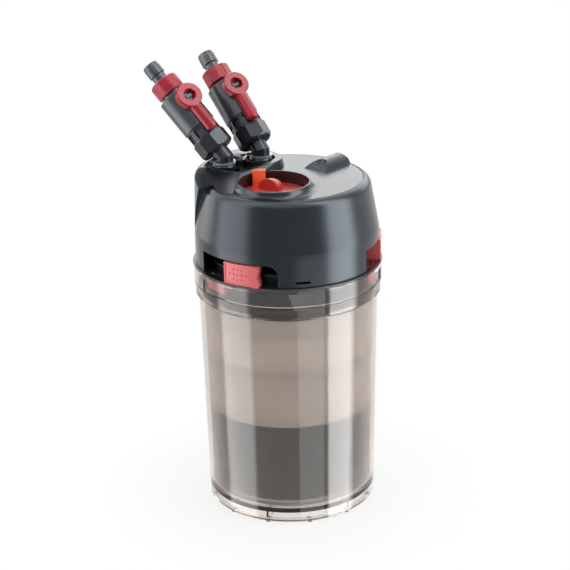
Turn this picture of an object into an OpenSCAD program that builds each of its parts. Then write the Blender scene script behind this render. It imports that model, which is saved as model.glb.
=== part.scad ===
// Canister filter for an aquarium: a clear pressure vessel with stacked media
// baskets, a pump head held by three sliding latches, a hand primer and two
// hose valves on swivelling elbows.
// Frame: origin on the canister axis at the floor, +Z up, front towards -Y.

/* [Canister] */
// Outer radius of the canister collar
rim_r = 94.2; // [93:0.2:110]
// Height of the canister rim above the floor
rim_z = 255.5; // [248:0.1:290]
// Height of the thick collar below the rim
collar_h = 32.2; // [30:0.1:36]
// Wall thickness of the collar
collar_wall = 3.3; // [3:0.1:3.4]
// Step from the collar in to the body, on the radius
body_step = 4.3; // [3.8:0.1:4.6]
// Radius that the body loses from the collar down to the foot
body_taper = 4.5; // [2:0.1:6]
// Wall thickness of the canister body
wall = 3; // [2.6:0.1:3.4]
// Height of the canister floor above the ground
floor_z = 15.5; // [13:0.5:20]
// Height of the rubber feet
foot_h = 2; // [1.5:0.1:4]
// Number of rubber feet
foot_count = 12; // [6:1:18]
// Width of the inner lip that the latches hook under
lip_w = 2.9; // [2:0.1:3.2]
// Height of the inner lip
lip_h = 4.2; // [3:0.1:5]

/* [Media] */
// Height of the lower basket
basket_lower_h = 91; // [70:1:95]
// Height of the middle basket
basket_middle_h = 52; // [40:1:58]
// Height of the upper basket
basket_upper_h = 47; // [40:1:50]
// Wall thickness of the baskets
basket_wall = 2; // [1.6:0.1:3]
// Slots in one ring of a basket floor
slot_count = 24; // [16:2:30]
// Gap between the baskets and the canister wall
basket_gap = 1.6; // [1:0.1:3]
// Outer radius of one ceramic ring
ceramic_r = 9; // [7:0.5:10]

/* [Head] */
// Height of the head above the canister flange, to its flat top
head_h = 83.5; // [80:0.5:95]
// Height of the straight skirt at the foot of the head
skirt_h = 33; // [30:0.5:38]
// Wall thickness of the head cover
cover_wall = 2.8; // [2.2:0.1:3.4]
// Angle of the cone above the skirt, from upright
cone_angle = 10; // [8:0.5:12]
// Radius of the edge round the flat top
edge_r = 9; // [6:0.5:10]
// Width of one latch window, as an angle
window_angle = 57.7; // [56:0.1:60]
// Height of the latch windows above the skirt's lower edge
window_h = 22.5; // [21.5:0.1:26]
// Thickness of the flange between the skirt and the rim
flange_t = 1.8; // [1.6:0.1:3]
// Width by which the flange stands out over the canister's collar
flange_over = 0.7; // [0.3:0.1:1.5]

/* [Latches] */
// Width of the latch face, as an angle
latch_angle = 19.8; // [17:0.1:20.5]
// Travel of a latch from locked to open, as an angle
latch_travel = 21; // [20:0.1:22]
// Depth of the finger rib on a latch, as an angle
latch_rib_angle = 3.9; // [3:0.1:4.5]

/* [Primer] */
// Inner radius of the primer well
well_r = 34.3; // [33:0.1:35]
// Height of the well rim above the head's flat top
well_rim_h = 7.5; // [6:0.5:10]
// Travel of the primer plunger
primer_travel = 12; // [8:0.5:12.5]
// Radius of the grip ridge on the knob
ridge_r = 12; // [10:0.5:13]
// Radius of the plunger stem
stem_r = 5; // [4:0.1:6]
// Bore radius of the primer cylinder
primer_bore_r = 20; // [18:0.5:21]

/* [Ports] */
// Height of the port block above the head's flat top
block_h = 9; // [8:0.5:10]
// Radius of the elbow stub that turns in a port
elbow_r = 9.2; // [8.5:0.1:9.5]
// Outer radius of the port collar
collar_r = 11.6; // [11.2:0.1:12]
// Radius of the clearance hole round a port collar
port_gap_r = 14.6; // [14:0.1:14.8]
// Radius of the release button
button_r = 5.4; // [4.5:0.1:5.6]
// Radius of the lobe of the block round the outlet port
lobe_r = 21.5; // [20:0.5:23]

/* [Valves] */
// Length of the union nut's octagon
union_h = 17; // [15:0.5:19]
// Radius across the corners of the union nut
union_r = 18.2; // [17:0.1:18.6]
// Length of the windowed ring above the union nut
union_ring_h = 12.2; // [10:0.2:14]
// Outer radius of the windowed ring
union_ring_r = 16.4; // [16:0.1:17]
// Outer radius of the valve body
valve_r = 17.4; // [16.6:0.1:18]
// Length of the valve body
valve_h = 41; // [38:0.5:45]
// Length of the hose nut
hose_nut_h = 16; // [14:0.5:18]
// Radius across the corners of the hose nut
hose_nut_r = 15; // [13.5:0.1:15.5]
// Radius of the hose barb where the hose seats
barb_r = 8.6; // [8:0.1:9]
// Free length of the hose barb above the nut
barb_len = 20.3; // [18:0.1:26]
// Radius of the waterway through the elbow, ball and barb
bore_r = 5.5; // [4.5:0.1:6]
// Radius of the valve ball
ball_r = 10; // [9:0.1:10.5]
// Radius of the lever's hub
hub_r = 13; // [11:0.1:13.4]
// Length of the lever arm from the hub's centre
arm_len = 40; // [36:0.5:46]
// Tilt of the valves from upright
valve_tilt = 45; // [40:1:48]

/* [Pump] */
// Radius of the impeller
impeller_r = 21; // [18:0.5:22.5]
// Number of impeller blades
blade_count = 6; // [4:1:8]
// Radius of the rotor magnet
magnet_r = 12.6; // [11:0.1:12.8]
// Radius of the ceramic shaft
shaft_r = 1.5; // [1.2:0.1:2]

/* [Hidden] */
$fn = 96;

run = 0.05;              // running clearance of a turning fit
slide = 0.3;             // clearance between parts that slide past each other
eps = 0.5;               // how far a cutter runs past a face

// canister
collar_z = rim_z - collar_h;
body_top_r = rim_r - body_step;
body_foot_r = body_top_r - body_taper;
collar_in = rim_r - collar_wall;
lip_in = collar_in - lip_w;
bead_z = rim_z - 18.2;   // line round the middle of the collar
seal_r = body_top_r - wall;
floor_t = 3.5;
floor_round = 5;         // fillet inside the floor, and the chamfer of the basket that stands in it
foot_ring_w = 7.5;
foot_r = 2.6;
function body_r(z) = body_foot_r + body_taper * z / collar_z;

// head
base_top = rim_z + flange_t;
plate_t = 4;
plate_z = base_top - plate_t;
flange_out = rim_r + flange_over;
skirt_r = rim_r - 2;
skirt_in = skirt_r - cover_wall;
spigot_r = seal_r - 2.5;
belt_z = base_top + skirt_h;
head_z = base_top + head_h;
cone_lean = tan(cone_angle);
edge_z = head_z - edge_r * (1 - sin(cone_angle));
edge_start_r = skirt_r - 0.3 - (edge_z - belt_z) * cone_lean;
edge_centre_r = edge_start_r - edge_r * cos(cone_angle);
ceiling_z = head_z - cover_wall;
groove_r = edge_centre_r + 2;
tower_from = 113;        // the port tower runs over these angles of the head
tower_to = 199;
tower_lean = 30;         // lean of the tower's front end, from upright
tower_mid = 190;         // direction in which the front end leans out
tower_round = 6.7;       // rounding of the tower's top edge
function tower_r(z) = skirt_r - 0.3 - (z - belt_z) * 0.028;
function cone_r(z) = skirt_r - 0.3 - (z - belt_z) * cone_lean;

// latches: rail on the head base, block in the window, hook under the rim lip
rail_r = spigot_r - 7;
rail_lip_r = rail_r + 2.5;
rail_h = 9.5;
rail_lip_t = 2;
latch_in = rail_lip_r + slide + 0.2;
latch_out = skirt_r + 1.9;
latch_h = 21.3;
hook_in = spigot_r + 0.8;
hook_out = hook_in + 2.2;
tooth_out = collar_in - 1.3;
tooth_h = 7.9;
tooth_top = rim_z - lip_h - 0.6;
latch_right = -111.4;    // angle of the latch face's right end, locked
latch_left = latch_right - latch_angle;
hook_from = latch_left - 19.3;
hook_to = latch_left - 2.3;
neck_to = latch_left + 4;  // neck that joins the hook's arm to the block
window_mid = -124.85;
window_corner = 10;
window_reach = 32.2;     // how far a window is cut in from the skirt

// ports
block_z = head_z + block_h;
port_pos = [[-61.1, 16.1], [-25, 37.8]];
button_pos = (port_pos[0] + port_pos[1]) / 2 + [-5.2, 8.5];
tray_z = block_z - 6.5;
collar_top = block_z + 2;
bend_z = block_z + 7.9;  // where the elbow's two tubes meet
valve_turn = [150, 131]; // compass angle of each valve
valve_roll = [154, 169]; // turn of each valve about its own axis

// primer
well_pos = [-11.8, -37.4];
well_z = head_z + well_rim_h;
well_wall = 2.2;
well_depth = 34;
well_floor = well_z - well_depth;
well_floor_t = 2.5;
knob_z = well_z - 11.5;
knob_t = 4;
knob_hub_h = 5.5;
knob_r = well_r - 0.7;
piston_h = 10;
piston_gap = 3;
piston_top = well_floor - well_floor_t - piston_gap;
primer_wall = 2.5;

// pump
motor_pos = [30, 18];
rotor_well_r = magnet_r + 0.8;
rotor_well_h = 37.5;
volute_r = impeller_r + 3.5;
volute_wall = 2.5;
volute_h = 16.5;
volute_z = plate_z - volute_h;
pump_cover_t = 3.5;
motor_in = 25.5;
motor_wall = 2.5;
motor_h = 49;
core_low = 8;
core_h = 22;
coil_over = 4;           // coils beyond the laminations, at each end
shaft_low = volute_z - 3;
shaft_top = base_top + rotor_well_h - 2;
intake_r = 11;
intake_wall = 1.5;
socket_z = plate_z - 14.5;

// valve, measured along its own axis from the foot of the union nut
union_start = 8.7;
union_floor = 3;
spigot_start = union_floor + 3.6;
flange_r = union_r - 4.2;
union_bore = union_r - 3.8;
body_start = union_h + union_ring_h + 0.3;
body_end = body_start + valve_h;
thread_r = 11;
thread_end = body_end + 13.7;
hose_nut_start = body_end + 3.3;
hose_nut_end = hose_nut_start + hose_nut_h;
barb_tip = hose_nut_end + barb_len;
lever_pos = body_start + 28;
boss_top = valve_r + 0.1;
hub_low = boss_top + slide;
hub_top = hub_low + 8.5;
hub_hole_r = 6.3;
arm_r = 6.4;             // half width of the lever arm
arm_low = union_r + 0.7; // the arm's flat underside, clear of the union nut
arm_tip_r = 3;           // rounding of the arm's blunt tip

// cable hood and inlet
cable_turn = 49;
cable_r = 3.4;
hood_r = 14.7;
hood_side = 9.8;         // offset of the hood's axis from the head's centre
hood_in = 32;
hood_z = head_z - 6;     // height of the hood's axis
hood_end_r = edge_centre_r;
inlet_z = head_z - 14;
grommet_r = 5.2;
inlet_boss_r = grommet_r + 2.6;
inlet_out = skirt_r - 3.6;

screw_turns = [-60, 60, 190];
screw_ring = rail_r - 7.4;
screw_r = 1.8;
screw_len = 30;
post_r = 4.5;

slate = "#353b40";
black = "#1b1d20";
red = "#b32036";
dark_grey = "#4a4f53";

// ---------- shared shapes ----------

// Points of an arc in a half-plane profile
function arc(c, r, from, to, n = 8) =
    [for (i = [0 : n]) c + r * [cos(from + (to - from) * i / n), sin(from + (to - from) * i / n)]];

module ring(outer, inner, h) {
    difference() {
        cylinder(r = outer, h = h);
        translate([0, 0, -eps]) cylinder(r = inner, h = h + 2 * eps);
    }
}

// Pie slice between two angles, 2D
module slice(r, from, to) {
    steps = max(1, ceil((to - from) / 30));
    polygon(concat([[0, 0]],
        [for (i = [0 : steps]) let (a = from + (to - from) * i / steps) r * 1.2 * [cos(a), sin(a)]]));
}

// Part of a ring between two angles
module arc_block(inner, outer, from, to, z, h) {
    translate([0, 0, z]) linear_extrude(h) intersection() {
        difference() {
            circle(outer);
            circle(inner);
        }
        slice(outer, from, to);
    }
}

// Helical spring as one swept tube: coil radius r, wire radius w
module helix(r, w, h, turns, sides = 6, steps = 16) {
    n = turns * steps;
    rise = (h - 2 * w) / n;
    points = [for (i = [0 : n], j = [0 : sides - 1])
        let (a = 360 * i / steps, b = 360 * j / sides)
        [(r + w * cos(b)) * cos(a), (r + w * cos(b)) * sin(a), w + rise * i + w * sin(b)]];
    walls = [for (i = [0 : n - 1], j = [0 : sides - 1]) let (k = (j + 1) % sides)
        each [[i * sides + j, i * sides + k, (i + 1) * sides + k],
              [i * sides + j, (i + 1) * sides + k, (i + 1) * sides + j]]];
    ends = [for (j = [1 : sides - 2]) each [[0, j + 1, j], [n * sides, n * sides + j, n * sides + j + 1]]];
    polyhedron(concat(points), [for (f = concat(walls, ends)) [f[0], f[2], f[1]]]);
}

// ---------- canister ----------

module canister() {
    low = foot_h;
    skirt_low_in = body_foot_r - wall;
    inner_floor_r = body_r(floor_z) - wall;
    profile = concat(
        [[0, floor_z - floor_t], [skirt_low_in, floor_z - floor_t], [skirt_low_in, low + 2.5],
         [body_foot_r - foot_ring_w, low + 2.5], [body_foot_r - foot_ring_w, low],
         [body_foot_r - 1.2, low], [body_foot_r, low + 1.2]],
        [[body_r(collar_z - 0.5), collar_z - 0.5], [rim_r - 3.4, collar_z], [rim_r - 0.9, collar_z + 2.6],
         [rim_r - 0.9, bead_z - 0.8], [rim_r, bead_z], [rim_r, rim_z - 0.8], [rim_r - 0.8, rim_z],
         [lip_in, rim_z], [lip_in, rim_z - lip_h], [collar_in, rim_z - lip_h],
         [collar_in, bead_z + 1], [seal_r + 0.8, bead_z - 1.2], [seal_r, bead_z - 2.2],
         [seal_r, collar_z - 4]],
        arc([inner_floor_r - floor_round, floor_z + floor_round], floor_round, 0, -90, 5),
        [[0, floor_z]]);
    color("#8d8078", 0.45) {
        difference() {
            rotate_extrude() polygon(profile);
            for (i = [0 : 2]) rotate([0, 0, 120 * i]) {
                // gap in the lip that lets an open latch pass
                arc_block(lip_in - 1, collar_in - 0.2, hook_from - latch_travel - 1.2,
                    hook_to - latch_travel + 1.2, rim_z - lip_h - 1, lip_h + 2);
                // shallow frame in the collar in front of a locked hook
                arc_block(rim_r - 1.3, rim_r + 1, hook_from - 1.9, hook_to + 2.3, bead_z + 1.4, 12);
            }
            key_mark();
        }
        for (i = [0 : 5]) rotate([0, 0, 60 * i + 12])
            translate([18, -1, low + 1.5]) cube([body_foot_r - wall - 17, 2, floor_z - floor_t - low - 1]);
    }
}

// Trapezoid recess at the front that lines up with the slot in the head
module key_mark() {
    rotate([0, 0, -81.4]) translate([rim_r - 1.6, 0, bead_z]) rotate([90, 0, 90])
        linear_extrude(4) polygon([[-8.7, -3.5], [8.7, -3.5], [14.5, 15], [-14.5, 15]]);
}

module rubber_feet() {
    color(black) for (i = [0 : foot_count - 1]) rotate([0, 0, -108 + 360 * i / foot_count])
        translate([body_foot_r - foot_r - 0.2, 0, 0]) cylinder(r1 = foot_r - 0.3, r2 = foot_r, h = foot_h, $fn = 32);
}

// ---------- media ----------

lower_z = floor_z;
middle_z = lower_z + basket_lower_h;
upper_z = middle_z + basket_middle_h;
lid_z = upper_z + basket_upper_h;
basket_floor = 2.5;
sleeve_r = intake_r + slide + basket_wall;
basket_foot_h = 4;

module intake_place() {
    translate([port_pos[0][0], port_pos[0][1], 0]) children();
}

// Slots through a basket floor or the lid, in two rings, clear of the intake sleeve
module floor_slots(r, z, h) {
    port_turn = atan2(port_pos[0][1], port_pos[0][0]);
    for (i = [0 : slot_count - 1]) let (a = 360 * i / slot_count)
        rotate([0, 0, a]) {
            translate([r * 0.2, -1.5, z]) cube([r * 0.28, 3, h]);
            if (abs((a - port_turn + 540) % 360 - 180) > 18)
                translate([r * 0.54, -2.5, z]) cube([r * 0.36, 5, h]);
        }
}

function basket_r(z) = body_r(z) - wall - basket_gap;

// Tapered basket wall and floor; foot = width of the chamfer under the wall,
// over = wall above the lid
module basket(z, h, foot = 0, over = 0) {
    top = z + h + over;
    floor_low = z + basket_foot_h;
    color("#cfc8bd", 0.6) difference() {
        union() {
            rotate_extrude() polygon(concat(
                foot > 0 ? [[basket_r(z) - foot, z], [basket_r(z + foot), z + foot]] : [[basket_r(z), z]],
                [[basket_r(top), top], [basket_r(top) - basket_wall, top],
                 [basket_r(floor_low) - basket_wall - 0.1, floor_low + basket_floor],
                 [0, floor_low + basket_floor], [0, floor_low],
                 [basket_r(floor_low) - basket_wall, floor_low],
                 [basket_r(z) - max(foot, basket_wall - 0.5) - 1.5, z]]));
            if (over > 0) translate([0, 0, z + h - 2.5])
                ring(basket_r(z + h) - 1, basket_r(z + h) - basket_wall - 2.5, 2.5);
            intake_place() translate([0, 0, z]) ring(sleeve_r, intake_r + slide, h);
        }
        floor_slots(basket_r(z), z, basket_foot_h + basket_floor + 1);
        intake_place() translate([0, 0, z - eps]) cylinder(r = intake_r + slide, h = h + 2 * eps);
    }
}

module basket_lower() { basket(lower_z, basket_lower_h, foot = floor_round); }
module basket_middle() { basket(middle_z, basket_middle_h); }
module basket_upper() { basket(upper_z, basket_upper_h, over = collar_z - 2.3 - lid_z); }

module basket_lid() {
    r = basket_r(lid_z) - basket_wall - slide;
    color("#cfc8bd", 0.6) difference() {
        union() {
            translate([0, 0, lid_z]) cylinder(r = r, h = 3);
            for (s = [-1, 1]) translate([s * 28, -3, lid_z + 2.5]) cube([4, 40, 12]);
        }
        floor_slots(r, lid_z - eps, 4);
        intake_place() translate([0, 0, lid_z - eps]) cylinder(r = intake_r + slide, h = 5);
        for (s = [-1, 1]) translate([s * 28 - eps, 5, lid_z + 5]) cube([5, 24, 6]);
    }
}

// Pad that fills a basket round the intake sleeve
module pad(z, h, basket_z) {
    r = basket_r(basket_z + basket_foot_h) - basket_wall - slide;
    difference() {
        translate([0, 0, z]) cylinder(r = r, h = h);
        intake_place() translate([0, 0, z - eps]) cylinder(r = sleeve_r + slide, h = h + 2 * eps);
    }
}

module coarse_sponge() {
    z = lower_z + basket_foot_h + basket_floor;
    color("#3b443f") pad(z, basket_lower_h - basket_foot_h - basket_floor - 1, lower_z);
}

module filter_floss() {
    z = upper_z + basket_foot_h + basket_floor;
    color("#e9e4da") pad(z, basket_upper_h - basket_foot_h - basket_floor - 6, upper_z);
}

// Tubes of one layer, on a close-packed grid round the intake sleeve
module ring_layer(z, reach, offset) {
    pitch = 2 * ceramic_r + 1.5;
    port = port_pos[0];
    for (i = [-4 : 4], j = [-4 : 4])
        let (p = [pitch * (i + j / 2 + offset), pitch * (j * 0.866 + offset * 0.577)])
        if (norm(p) < reach && norm(p - port) > ceramic_r + sleeve_r + slide)
            translate([p[0], p[1], z]) ring(ceramic_r, ceramic_r * 0.5, 2 * ceramic_r, $fn = 16);
}

module ceramic_rings() {
    z = middle_z + basket_foot_h + basket_floor;
    reach = basket_r(middle_z) - basket_wall - ceramic_r - slide;
    color("#d8c4a8") {
        ring_layer(z, reach, 0);
        ring_layer(z + 2 * ceramic_r + 0.1, reach - 3 * ceramic_r, 0.5);
    }
}

module intake_tube() {
    top = plate_z - 1.5;
    color(black) intake_place() difference() {
        translate([0, 0, floor_z]) ring(intake_r, intake_r - intake_wall, top - floor_z);
        for (a = [0, 90]) rotate([0, 0, a]) translate([-intake_r - 1, -4, floor_z - eps])
            cube([2 * intake_r + 2, 8, 8 + eps]);
    }
}

module intake_seal() {
    color(black) intake_place() translate([0, 0, plate_z - 8])
        ring(intake_r + 1.5, intake_r + run, 4);
}

module main_seal() {
    color(black) translate([0, 0, collar_z + 6]) ring(seal_r - run, seal_r - 4, 4);
}

// ---------- head base ----------

module at_port(i) { translate([port_pos[i][0], port_pos[i][1], 0]) children(); }
module at_motor() { translate([motor_pos[0], motor_pos[1], 0]) children(); }
module at_well() { translate([well_pos[0], well_pos[1], 0]) children(); }

// Outline of the pump chamber and its channel to the outlet port, grown by g
module volute_outline(g) {
    translate(motor_pos) circle(volute_r + g);
    translate(port_pos[1]) circle(elbow_r + 1.5 + g);
    run_to = port_pos[1] - motor_pos;
    angle = atan2(run_to[1], run_to[0]);
    translate(motor_pos) rotate(angle) translate([0, -elbow_r + 1 - g])
        square([norm(run_to), 2 * elbow_r + 2 * g - 2]);
}

module head_base() {
    outer_low = seal_r - slide;
    profile = [
        [0, plate_z], [spigot_r - 3.5, plate_z], [spigot_r - 3.5, collar_z + 1.5],
        [outer_low, collar_z + 1.5], [outer_low, collar_z + 6 - run],
        [seal_r - 4 - run, collar_z + 6 - run], [seal_r - 4 - run, collar_z + 10 + run],
        [outer_low, collar_z + 10 + run], [outer_low, bead_z - 3], [spigot_r, bead_z - 1],
        [spigot_r, rim_z], [flange_out - 0.4, rim_z], [flange_out, rim_z + 0.6], [flange_out, base_top - 0.5],
        [flange_out - 0.5, base_top],
        [rail_r, base_top], [rail_r, base_top + rail_h - rail_lip_t],
        [rail_lip_r, base_top + rail_h - rail_lip_t], [rail_lip_r, base_top + rail_h],
        [rail_r - 2, base_top + rail_h], [rail_r - 2, base_top], [0, base_top]];
    color(black) difference() {
        union() {
            rotate_extrude() polygon(profile);
            for (i = [0, 1]) at_port(i) rotate_extrude() polygon([
                [elbow_r - 4, base_top - 1], [collar_r, base_top - 1], [collar_r, collar_top - 2.2],
                [elbow_r + 1, collar_top], [elbow_r - 4, collar_top]]);
            at_motor() translate([0, 0, base_top - 1]) cylinder(r = rotor_well_r + 1.6, h = rotor_well_h + 3);
            at_port(0) translate([0, 0, socket_z]) cylinder(r = intake_r + 3.5, h = plate_z - socket_z + 1);
            translate([0, 0, volute_z]) linear_extrude(volute_h + 1) volute_outline(volute_wall);
            at_well() translate([0, 0, base_top - 1]) ring(primer_bore_r + primer_wall + 6.1,
                primer_bore_r + primer_wall + 4.1, 4);
            // walls that fill the collar between the latch pockets
            for (i = [0 : 2]) rotate([0, 0, 120 * i]) arc_block(spigot_r - 1, lip_in - 0.4,
                neck_to + 2, hook_from - latch_travel - 2 + 120, bead_z + 0.4, rim_z - bead_z + 0.6);
        }
        for (i = [0, 1]) at_port(i) translate([0, 0, volute_z - eps])
            cylinder(r = elbow_r + run, h = collar_top - volute_z + 2 * eps);
        at_port(0) translate([0, 0, socket_z - eps]) cylinder(r = intake_r + 1.5 + run, h = 13 + eps);
        translate([0, 0, volute_z - eps]) linear_extrude(volute_h + eps) volute_outline(0);
        at_motor() translate([0, 0, volute_z]) cylinder(r = rotor_well_r, h = base_top + rotor_well_h - volute_z - 4);
        at_motor() translate([0, 0, volute_z]) cylinder(r = 3.5, h = base_top + rotor_well_h - volute_z - 1);
        for (i = [0 : 2]) rotate([0, 0, 120 * i]) arc_block(hook_in - 0.5, hook_out + 0.4,
            latch_left - latch_travel - 0.8, neck_to + 1, rim_z - eps, flange_t + 2 * eps);
        for (a = screw_turns) rotate([0, 0, a]) translate([screw_ring, 0, plate_z - eps])
            cylinder(r = screw_r + 0.1, h = plate_t + 2 * eps, $fn = 32);
    }
}

module impeller_cover() {
    color(black) difference() {
        translate([0, 0, volute_z - pump_cover_t]) linear_extrude(pump_cover_t) volute_outline(volute_wall);
        at_motor() for (a = [0, 120, 240]) rotate([0, 0, a]) translate([0, 0, volute_z - pump_cover_t - eps])
            linear_extrude(pump_cover_t + 2 * eps) intersection() {
                difference() {
                    circle(12);
                    circle(6);
                }
                slice(12, 12, 108);
            }
        at_motor() translate([0, 0, volute_z - pump_cover_t - eps]) cylinder(r = 3.5, h = pump_cover_t + 2 * eps);
    }
}

// ---------- pump ----------

module impeller() {
    z = volute_z + 2.5;
    hub_top_z = base_top - 1.5;
    color("#d8d8d8") at_motor() difference() {
        union() {
            translate([0, 0, z]) cylinder(r = 5.5, h = hub_top_z - z);
            translate([0, 0, z + 9]) cylinder(r = impeller_r, h = 2);
            for (i = [0 : blade_count - 1]) rotate([0, 0, 360 * i / blade_count]) translate([0, 0, z])
                linear_extrude(10) intersection() {
                    translate([0, impeller_r * 0.55]) difference() {
                        circle(impeller_r * 0.62);
                        circle(impeller_r * 0.62 - 1.8);
                    }
                    circle(impeller_r);
                    translate([0, -impeller_r]) square([impeller_r, impeller_r * 1.55]);
                }
        }
        translate([0, 0, z - eps]) cylinder(r = shaft_r + run, h = hub_top_z - z + 2 * eps, $fn = 32);
    }
}

module rotor_magnet() {
    z = base_top - 1.5;
    color("#3a3a3c") at_motor() translate([0, 0, z]) ring(magnet_r, shaft_r + run, rotor_well_h - 4.5);
}

module impeller_shaft() {
    color("#f1efe8") at_motor() translate([0, 0, shaft_low]) cylinder(r = shaft_r, h = shaft_top - shaft_low, $fn = 32);
}

module upper_bushing() {
    color(black) at_motor() translate([0, 0, shaft_top - 1.9]) ring(3.45, shaft_r + 0.02, 2.8, $fn = 32);
}

module lower_bushing() {
    color(black) at_motor() translate([0, 0, volute_z - pump_cover_t]) ring(3.45, shaft_r + 0.02, 5.5, $fn = 32);
}

module motor_housing() {
    color(dark_grey) at_motor() translate([0, 0, base_top]) rotate_extrude() polygon(concat(
        [[motor_in, 0], [motor_in + motor_wall, 0]],
        arc([motor_in + motor_wall - 8, motor_h - 8], 8, 0, 90, 5),
        [[0, motor_h], [0, motor_h - motor_wall], [motor_in - 5, motor_h - motor_wall], [motor_in, motor_h - 8]]));
}

// Two-pole lamination ring; grow = 0 for the steel, negative for the coils in its windows
module pole_windows(grow) {
    for (s = [0, 180]) rotate(s) intersection() {
        difference() {
            circle(motor_in - 3 + grow);
            circle(rotor_well_r + 4 - grow);
        }
        slice(motor_in, -50 - grow * 2, 50 + grow * 2);
    }
}

module stator_core() {
    color("#7c7f84") at_motor() translate([0, 0, base_top + core_low]) linear_extrude(core_h) difference() {
        circle(motor_in - slide);
        circle(rotor_well_r + 1.6 + slide);
        pole_windows(0);
    }
}

module stator_coils() {
    color("#b06a34") at_motor() translate([0, 0, base_top + core_low - coil_over])
        linear_extrude(core_h + 2 * coil_over) pole_windows(-slide);
}

// ---------- primer ----------

module primer_cylinder() {
    low = base_top;
    top = well_floor - well_floor_t;
    outer = primer_bore_r + primer_wall;
    color(dark_grey) at_well() rotate_extrude() polygon([
        [primer_bore_r, low], [outer + 4, low], [outer + 4, low + 2.8], [outer, low + 2.8],
        [outer, top], [primer_bore_r, top]]);
}

module primer_piston() {
    low = piston_top - piston_h;
    r = primer_bore_r - 0.1;
    color("#d9d9d6") at_well() rotate_extrude() polygon([
        [0, low], [r, low], [r, low + 3], [r - 2.4, low + 3], [r - 2.4, low + 7], [r, low + 7],
        [r, piston_top], [stem_r, piston_top], [stem_r, knob_z - 0.4], [0, knob_z - 0.4]]);
}

module piston_seal() {
    low = piston_top - piston_h;
    color(black) at_well() translate([0, 0, low + 3.1]) ring(primer_bore_r - run, primer_bore_r - 2.4, 3.8);
}

module primer_spring() {
    h = piston_top - piston_h - base_top;
    color("#b9bcc0") at_well() translate([0, 0, base_top + 0.1]) helix(primer_bore_r * 0.6, 0.9, h - 0.2, 6);
}

module primer_knob() {
    low = knob_z - knob_t;
    length = ridge_r * 1.85;
    // radius of the arc that runs from the ridge's crest down to the disc
    sweep = (length * length + ridge_r * ridge_r) / (2 * ridge_r);
    color(red) at_well() difference() {
        union() {
            translate([0, 0, low]) rotate_extrude() polygon([
                [0, -knob_hub_h], [8, -knob_hub_h], [8, 0], [knob_r, 0], [knob_r, knob_t - 0.8],
                [knob_r - 0.8, knob_t], [0, knob_t]]);
            intersection() {
                translate([-5.5, 7, knob_z - 0.5]) rotate([0, 0, 55]) rotate([0, 90, 0]) rotate_extrude()
                    intersection() {
                        translate([ridge_r - sweep, 0]) circle(sweep);
                        square([ridge_r, length]);
                    }
                translate([0, 0, low + 1]) cylinder(r = knob_r - 0.8, h = 30);
            }
        }
        translate([0, 0, low - knob_hub_h - eps])
            cylinder(r = stem_r + run, h = knob_t + knob_hub_h - 0.3 + eps);
    }
}

module primer_tab() {
    width = 12.6;
    color("#ff7048") at_well() translate([0, 0, knob_z]) difference() {
        linear_extrude(15.5) intersection() {
            translate([-21, 21.5]) square([width, 8]);
            circle(knob_r - 0.5);
        }
        translate([-22, 21.5, 14]) rotate([45, 0, 0]) translate([0, -4, 0]) cube([width + 2, 4, 4]);
    }
}

// ---------- head cover ----------

module head_profile() {
    polygon(concat(
        [[0, base_top], [skirt_r, base_top], [skirt_r - 0.1, belt_z - 4.5], [skirt_r - 0.3, belt_z]],
        arc([edge_centre_r, head_z - edge_r], edge_r, cone_angle, 78, 7),
        [[groove_r, head_z - 0.9], [groove_r - 1.4, head_z], [0, head_z]]));
}

module head_inner() {
    polygon([[0, base_top - 1], [skirt_in, base_top - 1], [skirt_in - 0.3, belt_z],
        [cone_r(ceiling_z - 6) - cover_wall - 0.2, ceiling_z - 6],
        [cone_r(ceiling_z) - cover_wall - 6, ceiling_z], [0, ceiling_z]]);
}

// The port tower's own side wall, near upright, with a rounded top edge
module tower_profile() {
    low = block_z - tower_round;
    polygon(concat(
        [[0, belt_z - 3], [tower_r(belt_z) - 1, belt_z - 3], [tower_r(belt_z), belt_z + 1], [tower_r(low), low]],
        arc([tower_r(low) - tower_round, low], tower_round, 10, 90, 6),
        [[0, block_z]]));
}

// Everything that may belong to the tower: its outer wall, back end and the
// front end that leans out over the cone
module tower_zone() {
    intersection() {
        rotate_extrude() tower_profile();
        translate([0, 0, belt_z - 2]) linear_extrude(block_z - belt_z + 3) slice(rim_r * 1.1, tower_from, tower_to + 15);
        rotate([0, 0, tower_mid]) translate([0, -14.1, belt_z]) rotate([-tower_lean, 0, 0])
            translate([-10, -250, -20]) cube([150, 250, 120]);
    }
}

// Tower wall up to the flat top, and on it the block round the ports: upright
// lobe at the outlet, long slope at the front
block_front = [-11.7, 79.2];
block_front_r = 98.5;
module port_tower() {
    beyond = tower_r(head_z) + 3;
    lobe_from = -46;
    lobe_to = 70;
    intersection() {
        union() {
            translate([0, 0, belt_z - 3]) ring(rim_r * 1.1, skirt_r - 14, head_z - 0.8 - belt_z + 3);
            hull() {
                translate([0, 0, head_z - 1.2]) linear_extrude(0.1) polygon(concat(
                    arc([0, 0], beyond, tower_from - 1, tower_to + 1, 10),
                    arc([0, 0], groove_r, tower_to + 8, 226, 4),
                    arc(port_pos[1], lobe_r + 2.5, lobe_from, lobe_to, 14)));
                translate([0, 0, block_z - 0.1]) linear_extrude(0.1) polygon(concat(
                    arc([0, 0], beyond, tower_from - 1, 171, 8),
                    arc(block_front, block_front_r, 221.7, 250.9, 8),
                    arc(port_pos[1], lobe_r, lobe_from, lobe_to, 14)));
            }
        }
        union() {
            tower_zone();
            translate([0, 0, head_z - 2]) cylinder(r = groove_r - 0.7, h = block_h + 3);
        }
    }
}

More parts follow.
